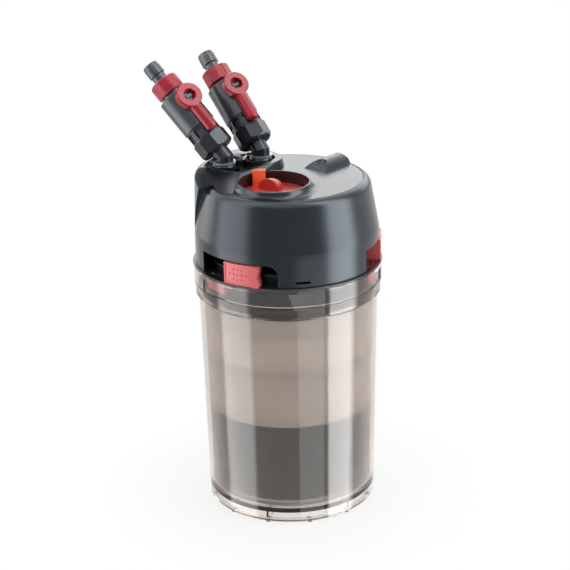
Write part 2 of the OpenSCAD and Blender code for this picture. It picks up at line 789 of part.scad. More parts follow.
// Sunken floor round the ports, behind the thin front wall
module tray_cut() {
    translate([0, 0, tray_z]) linear_extrude(20) difference() {
        intersection() {
            translate(block_front) circle(block_front_r - 2, $fn = 120);
            circle(tower_r(block_z) - tower_round - 1);
            polygon([[-100, 52], [-100, -24], [-47, -24], [-47, -10.5], [-20, 18.6], [-30, 52]]);
        }
        translate(port_pos[1]) circle(port_gap_r + 3);
        translate(button_pos) circle(button_r + 2.5);
    }
}

module place_hood() { rotate([0, 0, cable_turn]) translate([0, -hood_side, hood_z]) children(); }

// Low half-round cable hood with a slanted, scooped inner end
module cable_hood() {
    rise = head_z - hood_z;
    intersection() {
        place_hood() difference() {
            translate([hood_in - 12, 0, 0]) rotate([0, 90, 0]) cylinder(r = hood_r, h = hood_end_r - hood_in + 30);
            translate([hood_in, 0, rise]) rotate([0, -32, 0]) translate([-40, -30, 0]) cube([120, 60, 60]);
            translate([hood_in + 5, -1.5, rise + 12]) sphere(10);
        }
        rotate_extrude() polygon([[0, head_z - 2], [hood_end_r + 1.2, head_z - 2], [hood_end_r + 0.8, head_z + 5],
            [hood_end_r - 2, head_z + 9], [0, head_z + 9]]);
    }
}

module at_inlet() { rotate([0, 0, cable_turn]) translate([inlet_out, 0, inlet_z]) rotate([0, 90, 0]) children(); }

// Raised rim of the primer well: hollow flare, cut off along the edge of the flat
module well_boss() {
    out = well_r + 1.7;
    flare = well_rim_h - 1.4;
    intersection() {
        at_well() translate([0, 0, head_z]) rotate_extrude() polygon(concat(
            [[0, -2], [out + flare, -2], [out + flare, 0.2]],
            arc([out + flare, flare + 0.2], flare, 270, 180, 7),
            [[out, well_rim_h - 0.7], [out - 0.7, well_rim_h], [0, well_rim_h]]));
        translate([0, 0, head_z - 3]) cylinder(r = groove_r - 0.9, h = well_rim_h + 4);
    }
}

module window_cut() {
    half = skirt_r * sin(window_angle / 2);
    top = base_top + window_h;
    translate([skirt_r - window_reach, 0, 0]) rotate([90, 0, 90]) linear_extrude(window_reach + 10) polygon(concat(
        [[-half, base_top - 2], [half, base_top - 2]],
        arc([half - window_corner, top - window_corner], window_corner, 0, 90, 8),
        [[-half, top]]));
}

module head_cover() {
    color(slate) difference() {
        union() {
            difference() {
                union() {
                    rotate_extrude() head_profile();
                    port_tower();
                    well_boss();
                    cable_hood();
                    at_inlet() translate([0, 0, -12]) cylinder(r = inlet_boss_r, h = 12);
                }
                rotate_extrude() head_inner();
                place_hood() translate([hood_in + 16, 0, 0]) rotate([0, 90, 0])
                    cylinder(r = hood_r - cover_wall, h = hood_end_r - hood_in - 23.5);
            }
            // cup of the primer well
            at_well() translate([0, 0, well_floor - well_floor_t])
                cylinder(r = well_r + well_wall, h = head_z - 0.5 - well_floor);
            // posts for the screws, and the button's boss
            for (a = screw_turns) rotate([0, 0, a]) translate([screw_ring, 0, base_top])
                cylinder(r = post_r, h = ceiling_z - base_top + 1);
            translate([button_pos[0], button_pos[1], tray_z - 12]) cylinder(r = button_r + 2.5, h = 12.5);
        }
        at_well() translate([0, 0, well_floor]) cylinder(r = well_r, h = well_depth + 8);
        at_well() translate([0, 0, well_floor - well_floor_t - eps]) cylinder(r = stem_r + run, h = 5);
        tray_cut();
        for (i = [0, 1]) at_port(i) translate([0, 0, ceiling_z - 20]) cylinder(r = port_gap_r, h = 60);
        translate([button_pos[0], button_pos[1], tray_z - 10]) cylinder(r = button_r + run, h = 40);
        for (i = [0 : 2]) rotate([0, 0, window_mid + 120 * i]) window_cut();
        rotate([0, 0, -81.1]) translate([80, -7.2, base_top + 4]) cube([20, 14.4, 2.4]);
        for (a = screw_turns) rotate([0, 0, a]) translate([screw_ring, 0, base_top - eps])
            cylinder(r = screw_r + run, h = screw_len, $fn = 32);
        at_inlet() translate([0, 0, -20]) cylinder(r = grommet_r + run, h = 30);
    }
}

module cover_screws() {
    color("#a9adb2") for (a = screw_turns) rotate([0, 0, a]) translate([screw_ring, 0, 0]) {
        translate([0, 0, plate_z - 2.4]) cylinder(r = 3.4, h = 2.4, $fn = 32);
        translate([0, 0, plate_z]) cylinder(r = screw_r, h = screw_len, $fn = 32);
    }
}

module cable_grommet() {
    color(black) at_inlet() translate([0, 0, -3.5]) rotate_extrude() polygon([[cable_r, -3.5], [grommet_r, -3.5], [grommet_r, 3.5], [grommet_r + 1, 3.8],
            [grommet_r + 1, 5], [cable_r + 0.8, 6.5], [cable_r, 6.5]]);
}

module port_clips() {
    color("#c9cdd0") for (i = [0, 1]) at_port(i) translate([0, 0, collar_top + 0.2]) difference() {
        union() {
            ring(elbow_r + 2.6, elbow_r + 0.2, 1.5);
            rotate([0, 0, 200]) for (s = [-1, 1]) translate([elbow_r + 1.2, s * 4 - 1, 0]) cube([2.6, 2, 3]);
        }
        rotate([0, 0, 200]) translate([0, -2.5, -eps]) cube([30, 5, 5]);
    }
}

module release_button() {
    color("#aab4ba") translate([button_pos[0], button_pos[1], tray_z - 1]) difference() {
        rotate_extrude() polygon([[0, 0], [button_r - run, 0], [button_r - run, block_z + 4.2 - tray_z],
            [button_r - 0.8, block_z + 5 - tray_z + 0.2], [0, block_z + 5 - tray_z + 0.2]]);
        translate([0, 0, -eps]) cylinder(r = 3.6, h = 2 + eps, $fn = 32);
    }
}

module button_spring() {
    color("#b9bcc0") translate([button_pos[0], button_pos[1], tray_z - 9.9]) helix(2.7, 0.5, 10.8, 5);
}

// ---------- latches ----------

// One latch: block in the window, finger rib, foot under the rail, arm and hook
module latch(turn) {
    z = base_top + slide;
    rib_to = latch_right + latch_rib_angle;
    frame_t = 1.3;
    color(red) rotate([0, 0, turn]) difference() {
        union() {
            arc_block(latch_in, latch_out, latch_left, latch_right, z, latch_h);
            arc_block(latch_in + 4, latch_out + 1.6, latch_right - 0.2, rib_to, z, latch_h);
            arc_block(rail_r + slide, latch_in + 0.5, latch_left, latch_right, z, rail_h - rail_lip_t - 2 * slide);
            arc_block(hook_in, hook_out, latch_left + 0.2, neck_to, rim_z - slide - 1, flange_t + 2 * slide + 1.5);
            arc_block(hook_in, hook_out, hook_from + 0.3, neck_to, rim_z - slide - 4, 4);
            arc_block(hook_in, hook_out, hook_from, hook_to, tooth_top - tooth_h, rim_z - slide - tooth_top + tooth_h);
            arc_block(hook_out - 0.3, tooth_out, hook_from, hook_to, tooth_top - tooth_h, tooth_h);
        }
        // pressed-in pad with its rows of dimples
        arc_block(latch_out - 0.6, latch_out + 1, latch_left + 0.9, latch_right - 0.7, z + frame_t,
            latch_h - 2 * frame_t);
        for (row = [-1 : 1], col = [-2 : 2]) if (abs(row) + abs(col) < 3)
            rotate([0, 0, (latch_left + latch_right) / 2 + col * 2.7]) translate([latch_out - 1.3, 0, z + latch_h / 2 + row * 5])
                rotate([0, 90, 0]) cylinder(r = 0.9, h = 3, $fn = 16);
        // finger hollow in the end of the rib
        rotate([0, 0, rib_to]) translate([latch_in, 10.2, z + latch_h / 2]) rotate([0, 90, 0]) cylinder(r = 11.6, h = 30);
    }
}

module latch_1() { latch(0); }
module latch_2() { latch(120); }
module latch_3() { latch(240); }

// ---------- hose elbows and valves ----------

// Frame of a valve: origin at the foot of its union nut, Z along the waterway
module on_valve(i) {
    translate([port_pos[i][0], port_pos[i][1], bend_z]) rotate([0, 0, valve_turn[i]])
        rotate([0, valve_tilt, 0]) translate([0, 0, union_start]) children();
}

// Frame of a valve's lever: X out along the stem, arm towards -Z
module on_lever(i) {
    on_valve(i) rotate([0, 0, valve_roll[i]]) translate([0, 0, lever_pos]) children();
}

// Frame of an elbow's mitre: its XY plane halves the bend
module on_mitre(i) {
    translate([port_pos[i][0], port_pos[i][1], bend_z]) rotate([0, 0, valve_turn[i]])
        rotate([0, valve_tilt / 2, 0]) children();
}

module elbow(i) {
    stub_low = block_z - 25;
    flange_at = union_start + union_floor + slide;
    beyond = 8 * elbow_r;
    color(black) difference() {
        union() {
            difference() {
                at_port(i) translate([0, 0, stub_low]) cylinder(r = elbow_r, h = bend_z + elbow_r - stub_low);
                at_port(i) translate([0, 0, stub_low + 4]) ring(elbow_r + 1, elbow_r - 1.8, 3);
                on_mitre(i) translate([-beyond / 2, -beyond / 2, 0]) cube(beyond);
            }
            difference() {
                on_valve(i) translate([0, 0, -union_start - elbow_r])
                    cylinder(r = elbow_r - 0.2, h = flange_at + elbow_r + 1);
                on_mitre(i) translate([-beyond / 2, -beyond / 2, -beyond]) cube(beyond);
            }
            on_valve(i) translate([0, 0, flange_at - union_start]) cylinder(r = flange_r, h = 3);
        }
        at_port(i) translate([0, 0, stub_low - eps]) cylinder(r = bore_r, h = bend_z - stub_low + eps);
        at_port(i) translate([0, 0, bend_z]) sphere(bore_r + 0.3);
        on_valve(i) translate([0, 0, -union_start]) cylinder(r = bore_r, h = flange_at + 6);
    }
}

module elbow_seal(i) {
    color(black) at_port(i) translate([0, 0, block_z - 20.9]) ring(elbow_r, elbow_r - 1.8, 2.8);
}

module union_nut(i) {
    color(black) on_valve(i) difference() {
        union() {
            intersection() {
                cylinder(r = union_r, h = union_h, $fn = 8);
                rotate_extrude() polygon([[0, 0], [union_r - 2.2, 0], [union_r + 0.2, 2.4],
                    [union_r + 0.2, union_h - 1.5], [union_r - 1.2, union_h], [0, union_h]]);
            }
            translate([0, 0, union_h - 1]) cylinder(r = union_ring_r, h = union_ring_h + 1);
        }
        translate([0, 0, -eps]) cylinder(r = elbow_r + 0.1, h = union_floor + 2 * eps);
        translate([0, 0, union_floor]) cylinder(r = union_bore, h = union_h + union_ring_h);
        for (a = [0 : 45 : 315]) rotate([0, 0, a + 22.5])
            translate([union_bore - 2, -4.5, union_h + 1.6]) cube([8, 9, union_ring_h - 3.4]);
    }
}

module valve_body(i) {
    color(dark_grey) difference() {
        union() {
            on_valve(i) rotate_extrude() polygon([
                [0, spigot_start], [flange_r, spigot_start], [flange_r, body_start], [valve_r - 0.6, body_start],
                [valve_r, body_start + 0.8], [valve_r, body_end - 1], [valve_r - 1.2, body_end],
                [thread_r, body_end], [thread_r, thread_end], [0, thread_end]]);
            on_lever(i) rotate([0, 90, 0]) cylinder(r = hub_r - 3, h = boss_top);
        }
        on_valve(i) translate([0, 0, spigot_start - eps]) cylinder(r = bore_r, h = thread_end);
        on_lever(i) sphere(ball_r + run);
        on_lever(i) rotate([0, 90, 0]) cylinder(r = stem_r + run, h = boss_top + eps);
    }
}

module valve_ball(i) {
    color("#c9c9c4") on_lever(i) difference() {
        sphere(ball_r);
        translate([0, 0, -ball_r - eps]) cylinder(r = bore_r, h = 2 * ball_r + 2 * eps);
    }
}

module valve_stem(i) {
    color(black) on_lever(i) difference() {
        union() {
            rotate([0, 90, 0]) cylinder(r = stem_r, h = hub_low + 2.8);
            translate([hub_low + 2, -3.4, -1.6]) cube([3.4, 6.8, 3.2]);
        }
        sphere(ball_r);
    }
}

module valve_lever(i) {
    color(red) on_lever(i) difference() {
        union() {
            translate([hub_low, 0, 0]) rotate([0, 90, 0]) rotate_extrude() polygon([
                [0, 0], [hub_r - 0.8, 0], [hub_r, 1], [hub_r, hub_top - hub_low - 0.8],
                [hub_r - 0.8, hub_top - hub_low], [0, hub_top - hub_low]]);
            intersection() {
                translate([hub_top - arm_r - 0.2, 0, -arm_len]) rotate_extrude() polygon(concat(
                    [[0, 0]], arc([arm_r - arm_tip_r, arm_tip_r], arm_tip_r, -90, 0, 4),
                    [[arm_r - 0.6, arm_len - 2], [0, arm_len - 2]]));
                translate([arm_low, -20, -arm_len - 5]) cube([20, 40, arm_len + 5]);
            }
        }
        translate([hub_low - eps, 0, 0]) rotate([0, 90, 0]) cylinder(r = stem_r + run, h = 4);
        translate([hub_low + 2.8, 0, 0]) rotate([0, 90, 0]) cylinder(r = hub_hole_r, h = 20);
    }
}

module hose_barb(i) {
    flange_low = thread_end + 1.2;
    neck_r = barb_r - 1.3;
    ridge_at = barb_tip - 13;
    color(dark_grey) on_valve(i) rotate_extrude() polygon([
        [bore_r, flange_low], [thread_r - 1.4, flange_low], [thread_r - 1.4, flange_low + 1.8],
        [neck_r, flange_low + 1.8], [neck_r, ridge_at - 1], [barb_r, ridge_at],
        [barb_r, barb_tip - 5], [barb_r - 0.5, barb_tip - 0.6],
        [barb_r - 1.1, barb_tip], [bore_r, barb_tip]]);
}

module barb_seal(i) {
    color(black) on_valve(i) translate([0, 0, thread_end]) ring(thread_r - 2, bore_r + 0.7, 1.2);
}

module hose_nut(i) {
    ribs = 10;
    roof = 2;
    color(red) on_valve(i) difference() {
        intersection() {
            translate([0, 0, hose_nut_start]) cylinder(r = hose_nut_r, h = hose_nut_h, $fn = ribs);
            translate([0, 0, hose_nut_start]) rotate_extrude() polygon([
                [0, 0], [hose_nut_r - 0.9, 0], [hose_nut_r + 0.1, 1.2], [hose_nut_r + 0.1, hose_nut_h - 2],
                [hose_nut_r - 2.2, hose_nut_h], [0, hose_nut_h]]);
        }
        translate([0, 0, hose_nut_start - eps]) cylinder(r = thread_r + 0.4, h = hose_nut_h - roof + eps);
        translate([0, 0, hose_nut_end - roof - eps]) cylinder(r = barb_r + 0.3, h = roof + 2 * eps);
        for (a = [0 : ribs - 1]) rotate([0, 0, 360 * a / ribs])
            translate([hose_nut_r + 0.2, 0, hose_nut_start - eps]) cylinder(r = 0.9, h = hose_nut_h + 2 * eps, $fn = 16);
    }
}

module elbow_1() { elbow(0); }
module elbow_seal_1() { elbow_seal(0); }
module union_nut_1() { union_nut(0); }
module valve_body_1() { valve_body(0); }
module valve_ball_1() { valve_ball(0); }
module valve_stem_1() { valve_stem(0); }
module valve_lever_1() { valve_lever(0); }
module hose_barb_1() { hose_barb(0); }
module barb_seal_1() { barb_seal(0); }
module hose_nut_1() { hose_nut(0); }
module elbow_2() { elbow(1); }
module elbow_seal_2() { elbow_seal(1); }
module union_nut_2() { union_nut(1); }
module valve_body_2() { valve_body(1); }
module valve_ball_2() { valve_ball(1); }
module valve_stem_2() { valve_stem(1); }
module valve_lever_2() { valve_lever(1); }
module hose_barb_2() { hose_barb(1); }
module barb_seal_2() { barb_seal(1); }
module hose_nut_2() { hose_nut(1); }

canister();
rubber_feet();
basket_lower();
basket_middle();
basket_upper();
basket_lid();
coarse_sponge();
ceramic_rings();
filter_floss();
intake_tube();
intake_seal();
main_seal();
head_base();
head_cover();
cover_screws();
motor_housing();
stator_core();
stator_coils();
impeller();
rotor_magnet();
impeller_shaft();
upper_bushing();
lower_bushing();
impeller_cover();
primer_cylinder();
primer_piston();
piston_seal();
primer_spring();
primer_knob();
primer_tab();
port_clips();
release_button();
button_spring();
cable_grommet();
latch_1();
latch_2();
latch_3();
elbow_1();
elbow_seal_1();
union_nut_1();
valve_body_1();
valve_ball_1();
valve_stem_1();
valve_lever_1();
hose_barb_1();
barb_seal_1();
hose_nut_1();
elbow_2();
elbow_seal_2();
union_nut_2();
valve_body_2();
valve_ball_2();
valve_stem_2();
valve_lever_2();
hose_barb_2();
barb_seal_2();
hose_nut_2();
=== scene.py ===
import bpy
import bmesh
import math
import random
from mathutils import Matrix, Vector, noise


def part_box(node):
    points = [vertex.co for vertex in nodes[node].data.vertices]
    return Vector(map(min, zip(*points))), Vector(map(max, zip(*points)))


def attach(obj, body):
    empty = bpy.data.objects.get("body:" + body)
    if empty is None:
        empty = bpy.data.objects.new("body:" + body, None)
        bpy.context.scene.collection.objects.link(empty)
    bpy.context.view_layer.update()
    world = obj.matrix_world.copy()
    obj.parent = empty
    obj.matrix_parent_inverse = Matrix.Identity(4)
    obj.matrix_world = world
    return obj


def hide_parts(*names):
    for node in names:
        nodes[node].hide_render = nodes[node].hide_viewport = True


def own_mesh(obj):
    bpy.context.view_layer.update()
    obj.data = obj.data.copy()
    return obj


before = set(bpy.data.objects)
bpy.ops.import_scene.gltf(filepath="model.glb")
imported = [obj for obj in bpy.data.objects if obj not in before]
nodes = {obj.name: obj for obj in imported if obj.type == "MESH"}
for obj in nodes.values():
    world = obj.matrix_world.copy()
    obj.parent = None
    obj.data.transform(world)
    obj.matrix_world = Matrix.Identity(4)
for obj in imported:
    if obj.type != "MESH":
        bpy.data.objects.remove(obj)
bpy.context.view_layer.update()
scene = bpy.context.scene

# ---------------------------------------------------------------- studio
# A long lens looks down on the filter. The floor is a white disc that fades
# into a white surround and keeps the soft shadow under the canister. Gloss
# passes it and meets the same white in the surround.
scene.view_settings.view_transform = "Standard"

camera_spot = (-0.00325, -1.7236, 0.88255)
looks_down = 20.843
camera_roll = -1.2139
camera_data = bpy.data.cameras.new("camera")
camera_data.sensor_width = 36
camera_data.lens = 115.27
camera_data.clip_start = 0.05
camera = bpy.data.objects.new("camera", camera_data)
camera.matrix_world = (Matrix.Translation(camera_spot)
                       @ Matrix.Rotation(math.radians(90 - looks_down), 4, "X")
                       @ Matrix.Rotation(math.radians(camera_roll), 4, "Z"))
scene.collection.objects.link(camera)
scene.camera = camera

floor_radius = 3.2
floor_mesh = bpy.data.meshes.new("studio_floor")
disc = bmesh.new()
bmesh.ops.create_circle(disc, cap_ends=True, radius=floor_radius, segments=96)
disc.to_mesh(floor_mesh)
disc.free()
studio_floor = bpy.data.objects.new("studio_floor", floor_mesh)
studio_floor.visible_glossy = False
scene.collection.objects.link(studio_floor)


def node_tree(material):
    """An emptied node tree with its output, ready to fill."""
    material.use_nodes = True
    tree = material.node_tree
    tree.nodes.clear()
    return tree, tree.nodes.new("ShaderNodeOutputMaterial")


# The floor glows a little less under the filter, out to where its shadow ends
foot_reach = 0.085
shadow_reach = 0.20
least_glow = 0.80
floor_paint = bpy.data.materials.new("white_floor")
tree, out = node_tree(floor_paint)
matt = tree.nodes.new("ShaderNodeBsdfDiffuse")
matt.inputs["Color"].default_value = (0.88, 0.88, 0.88, 1)
glow = tree.nodes.new("ShaderNodeEmission")
glow.inputs["Strength"].default_value = 1.0
path = tree.nodes.new("ShaderNodeLightPath")
place = tree.nodes.new("ShaderNodeTexCoord")
reach = tree.nodes.new("ShaderNodeVectorMath")
reach.operation = "LENGTH"
fade = tree.nodes.new("ShaderNodeMapRange")
fade.inputs["From Min"].default_value = foot_reach
fade.inputs["From Max"].default_value = shadow_reach
fade.inputs["To Min"].default_value = least_glow
fade.inputs["To Max"].default_value = 1.0
seen = tree.nodes.new("ShaderNodeMath")
seen.operation = "MAXIMUM"
share = tree.nodes.new("ShaderNodeMath")
share.operation = "MULTIPLY"
mix = tree.nodes.new("ShaderNodeMixShader")
link = tree.links.new
link(place.outputs["Object"], reach.inputs[0])
link(reach.outputs["Value"], fade.inputs["Value"])
link(path.outputs["Is Camera Ray"], seen.inputs[0])
link(path.outputs["Is Transmission Ray"], seen.inputs[1])
link(seen.outputs[0], share.inputs[0])
link(fade.outputs[0], share.inputs[1])
link(share.outputs[0], mix.inputs["Fac"])
link(matt.outputs[0], mix.inputs[1])
link(glow.outputs[0], mix.inputs[2])
link(mix.outputs[0], out.inputs["Surface"])
floor_mesh.materials.append(floor_paint)

# The surround is the same white to the eye, in gloss and through clear plastic.
# Gloss also sees the lamps in it: a tall panel on each side, one at the left back,
# a bright ceiling, a strip high behind the filter and the table's bounce in front.
world = bpy.data.worlds.new("surround")
scene.world = world
world.use_nodes = True
world.cycles.sampling_method = "NONE"
tree = world.node_tree
tree.nodes.clear()
link = tree.links.new
out = tree.nodes.new("ShaderNodeOutputWorld")
path = tree.nodes.new("ShaderNodeLightPath")
place = tree.nodes.new("ShaderNodeTexCoord")
split = tree.nodes.new("ShaderNodeSeparateXYZ")
link(place.outputs["Generated"], split.inputs[0])

away = tree.nodes.new("ShaderNodeMath")
away.operation = "MULTIPLY"
away.inputs[1].default_value = -1
link(split.outputs["Y"], away.inputs[0])
compass = tree.nodes.new("ShaderNodeMath")
compass.operation = "ARCTAN2"
link(split.outputs["X"], compass.inputs[0])
link(away.outputs[0], compass.inputs[1])
round_the_room = tree.nodes.new("ShaderNodeMapRange")
round_the_room.inputs["From Min"].default_value = -math.pi
round_the_room.inputs["From Max"].default_value = math.pi
link(compass.outputs[0], round_the_room.inputs["Value"])

# Brightness at each bearing, in degrees from the front, right side positive. The
# white of the room is 1, the tall panels are 6.2 on the left and 12 on the right.
brightest = 12.0
panels = [(-180, 1.0), (-101, 1.0), (-93, 6.2), (-55, 6.2), (-48, 1.0), (50, 1.0), (54, 12.0),
          (84, 12.0), (96, 1.6), (140, 1.1), (180, 1.0)]
walls = tree.nodes.new("ShaderNodeValToRGB")
stops = walls.color_ramp.elements
while len(stops) < len(panels):
    stops.new(0.5)
for stop, (bearing, level) in zip(stops, panels):
    stop.position = bearing / 360 + 0.5
    stop.color = (level / brightest,) * 3 + (1,)
link(round_the_room.outputs[0], walls.inputs["Fac"])
wall_light = tree.nodes.new("ShaderNodeMath")
wall_light.operation = "MULTIPLY"
wall_light.inputs[1].default_value = brightest
link(walls.outputs["Color"], wall_light.inputs[0])


def rise(source, start, stop, low, high):
    """A smooth step in the surround, along one of its directions."""
    step = tree.nodes.new("ShaderNodeMapRange")
    step.interpolation_type = "SMOOTHSTEP"
    step.inputs["From Min"].default_value = start
    step.inputs["From Max"].default_value = stop
    step.inputs["To Min"].default_value = low
    step.inputs["To Max"].default_value = high
    link(source, step.inputs["Value"])
    return step.outputs[0]


def joined(one, other, operation="MULTIPLY"):
    """Two strengths as one: their product, or the brighter with MAXIMUM."""
    node = tree.nodes.new("ShaderNodeMath")
    node.operation = operation
    link(one, node.inputs[0])
    link(other, node.inputs[1])
    return node.outputs[0]


# The other lamps, each between the heights, depths or bearings where it fades.
# Heights and depths run from -1 to 1.
ceiling = rise(split.outputs["Z"], 0.35, 0.75, 0.0, 3.0)
strip_behind = joined(rise(split.outputs["Y"], 0.35, 0.75, 0.0, 1.0),
                      rise(split.outputs["Z"], 0.06, 0.26, 0.0, 3.8))
left_back = joined(joined(rise(split.outputs["X"], -0.75, -0.55, 4.0, 0.0),
                          rise(split.outputs["Z"], -0.30, -0.12, 0.0, 1.0)),
                   rise(split.outputs["Y"], 0.20, 0.36, 0.0, 1.0))
table_bounce = joined(joined(rise(compass.outputs[0], math.radians(9), math.radians(12), 0.0, 3.2),
                             rise(compass.outputs[0], math.radians(44), math.radians(47), 1.0, 0.0)),
                      rise(split.outputs["Z"], -0.30, -0.20, 1.0, 0.0))
room = wall_light.outputs[0]
for lamp_seen in (ceiling, strip_behind, left_back, table_bounce):
    room = joined(room, lamp_seen, "MAXIMUM")

soft_light = tree.nodes.new("ShaderNodeBackground")
soft_light.inputs["Strength"].default_value = 0.45
in_gloss = tree.nodes.new("ShaderNodeBackground")
white = tree.nodes.new("ShaderNodeBackground")
white.inputs["Strength"].default_value = 1.0
for light in (soft_light, in_gloss, white):
    light.inputs["Color"].default_value = (1, 1, 1, 1)
gloss_or_not = tree.nodes.new("ShaderNodeMixShader")
seen_or_not = tree.nodes.new("ShaderNodeMixShader")
seen = tree.nodes.new("ShaderNodeMath")
seen.operation = "MAXIMUM"
reflected = tree.nodes.new("ShaderNodeMath")
reflected.operation = "GREATER_THAN"
reflected.inputs[1].default_value = 0.5
link(path.outputs["Is Camera Ray"], seen.inputs[0])
link(path.outputs["Is Transmission Ray"], seen.inputs[1])
link(seen.outputs[0], seen_or_not.inputs["Fac"])
link(soft_light.outputs[0], seen_or_not.inputs[1])
link(white.outputs[0], seen_or_not.inputs[2])
link(room, in_gloss.inputs["Strength"])
link(path.outputs["Glossy Depth"], reflected.inputs[0])
link(reflected.outputs[0], gloss_or_not.inputs["Fac"])
link(seen_or_not.outputs[0], gloss_or_not.inputs[1])
link(in_gloss.outputs[0], gloss_or_not.inputs[2])
link(gloss_or_not.outputs[0], out.inputs["Surface"])


def softbox(name, spot, aim, width, height, radiance):
    """A rectangular lamp of even brightness that lights but leaves no glint."""
    data = bpy.data.lights.new(name, "AREA")
    data.shape = "RECTANGLE"
    data.size = width
    data.size_y = height
    data.energy = radiance * width * height * math.pi
    lamp = bpy.data.objects.new(name, data)
    lamp.location = spot
    lamp.rotation_euler = (Vector(aim) - Vector(spot)).to_track_quat("-Z", "Y").to_euler()
    lamp.visible_camera = False
    lamp.visible_glossy = False
    scene.collection.objects.link(lamp)


softbox("key_right", spot=(1.25, -0.55, 0.85), aim=(0, 0, 0.25), width=0.9, height=1.4, radiance=2.6)
softbox("fill_left", spot=(-1.2, -0.65, 0.75), aim=(0, 0, 0.25), width=0.9, height=1.3, radiance=1.7)
softbox("panel_back_top", spot=(0.1, 1.3, 1.5), aim=(0, 0, 0.33), width=2.0, height=1.1, radiance=1.7)

# ---------------------------------------------------------------- canister
# A deep round tub with a thick collar, injection moulded in clear plastic
# with a smoky brown tint, polished inside and out.


def shaded(name, base, rough, metal=0.0, ior=1.46):
    """A material with a Principled shader whose even values are already set."""
    material = bpy.data.materials.new(name)
    tree, out = node_tree(material)
    shader = tree.nodes.new("ShaderNodeBsdfPrincipled")
    shader.inputs["Base Color"].default_value = (*base, 1)
    shader.inputs["Roughness"].default_value = rough
    shader.inputs["Metallic"].default_value = metal
    shader.inputs["IOR"].default_value = ior
    tree.links.new(shader.outputs[0], out.inputs["Surface"])
    place = tree.nodes.new("ShaderNodeTexCoord")
    return material, tree, shader, place.outputs["Object"]


def pattern(tree, where, scale, detail=3.0, kind="ShaderNodeTexNoise"):
    """A procedural texture read at the piece's own place."""
    texture = tree.nodes.new(kind)
    texture.inputs["Scale"].default_value = scale
    if "Detail" in texture.inputs:
        texture.inputs["Detail"].default_value = detail
    tree.links.new(where, texture.inputs["Vector"])
    return texture


def vary(tree, source, low, high, target, start=0.3, stop=0.7):
    """Drives a number socket from a pattern, between two values."""
    span = tree.nodes.new("ShaderNodeMapRange")
    span.inputs["From Min"].default_value = start
    span.inputs["From Max"].default_value = stop
    span.inputs["To Min"].default_value = low
    span.inputs["To Max"].default_value = high
    tree.links.new(source, span.inputs["Value"])
    tree.links.new(span.outputs[0], target)


def tone(tree, source, dark, light, target, start=0.3, stop=0.7):
    """Drives a colour socket from a pattern, between two tones."""
    ramp = tree.nodes.new("ShaderNodeValToRGB")
    ramp.color_ramp.elements[0].position = start
    ramp.color_ramp.elements[1].position = stop
    ramp.color_ramp.elements[0].color = (*dark, 1)
    ramp.color_ramp.elements[1].color = (*light, 1)
    tree.links.new(source, ramp.inputs["Fac"])
    tree.links.new(ramp.outputs["Color"], target)


def relief(tree, source, depth, strength, shader):
    """Small bumps from a pattern, depth in metres."""
    bump = tree.nodes.new("ShaderNodeBump")
    bump.inputs["Distance"].default_value = depth
    bump.inputs["Strength"].default_value = strength
    tree.links.new(source, bump.inputs["Height"])
    tree.links.new(bump.outputs[0], shader.inputs["Normal"])
    return bump


def dress(material, *names):
    """Gives CAD pieces their finish."""
    for name in names:
        piece = nodes[name]
        if not piece.material_slots:
            piece.data.materials.append(material)
        for s in piece.material_slots:
            s.material = material


smoked, tree, shader, where = shaded("smoked_clear", (0.95, 0.91, 0.87), 0.02, ior=1.43)
shader.inputs["Transmission Weight"].default_value = 1.0
flow = pattern(tree, where, 18, 2)
tone(tree, flow.outputs["Fac"], (0.97, 0.955, 0.94), (0.99, 0.98, 0.97), shader.inputs["Base Color"])
vary(tree, flow.outputs["Fac"], 0.012, 0.03, shader.inputs["Roughness"])
smoke = tree.nodes.new("ShaderNodeVolumeAbsorption")
smoke.inputs["Color"].default_value = (0.58, 0.47, 0.40, 1)
smoke.inputs["Density"].default_value = 105
tree.links.new(smoke.outputs[0], tree.get_output_node("ALL").inputs["Volume"])
dress(smoked, "canister")

# ---------------------------------------------------------------- rubber feet
# Twelve soft pads pushed into the foot ring, each with a rounded rim that
# grips the floor.
pad_rubber, tree, shader, where = shaded("foot_rubber", (0.03, 0.03, 0.032), 0.7)
speck = pattern(tree, where, 900, 4)
tone(tree, speck.outputs["Fac"], (0.018, 0.018, 0.02), (0.05, 0.05, 0.053), shader.inputs["Base Color"])
vary(tree, speck.outputs["Fac"], 0.55, 0.85, shader.inputs["Roughness"])
relief(tree, speck.outputs["Fac"], 0.0002, 0.4, shader)


def recipe(name, sizes):
    """A Geometry Nodes tree with one named input for each size, and its two end nodes."""
    tree = bpy.data.node_groups.new(name, "GeometryNodeTree")
    tree.interface.new_socket("Places", in_out="INPUT", socket_type="NodeSocketGeometry")
    for label in sizes:
        tree.interface.new_socket(label, in_out="INPUT", socket_type="NodeSocketFloat")
    tree.interface.new_socket("Pieces", in_out="OUTPUT", socket_type="NodeSocketGeometry")
    return tree, tree.nodes.new("NodeGroupInput"), tree.nodes.new("NodeGroupOutput")


def grow(name, places, tree, sizes):
    """Runs a tree over a list of points and keeps the result as a plain mesh."""
    seeds = bpy.data.meshes.new(name + "_places")
    seeds.from_pydata(places, [], [])
    piece = bpy.data.objects.new(name, seeds)
    scene.collection.objects.link(piece)
    growth = piece.modifiers.new("growth", "NODES")
    growth.node_group = tree
    for socket in tree.interface.items_tree:
        if socket.in_out == "INPUT" and socket.name in sizes:
            growth[socket.identifier] = sizes[socket.name]
    ready = piece.evaluated_get(bpy.context.evaluated_depsgraph_get())
    grown = bpy.data.meshes.new_from_object(ready)
    piece.modifiers.clear()
    piece.data = grown
    return piece


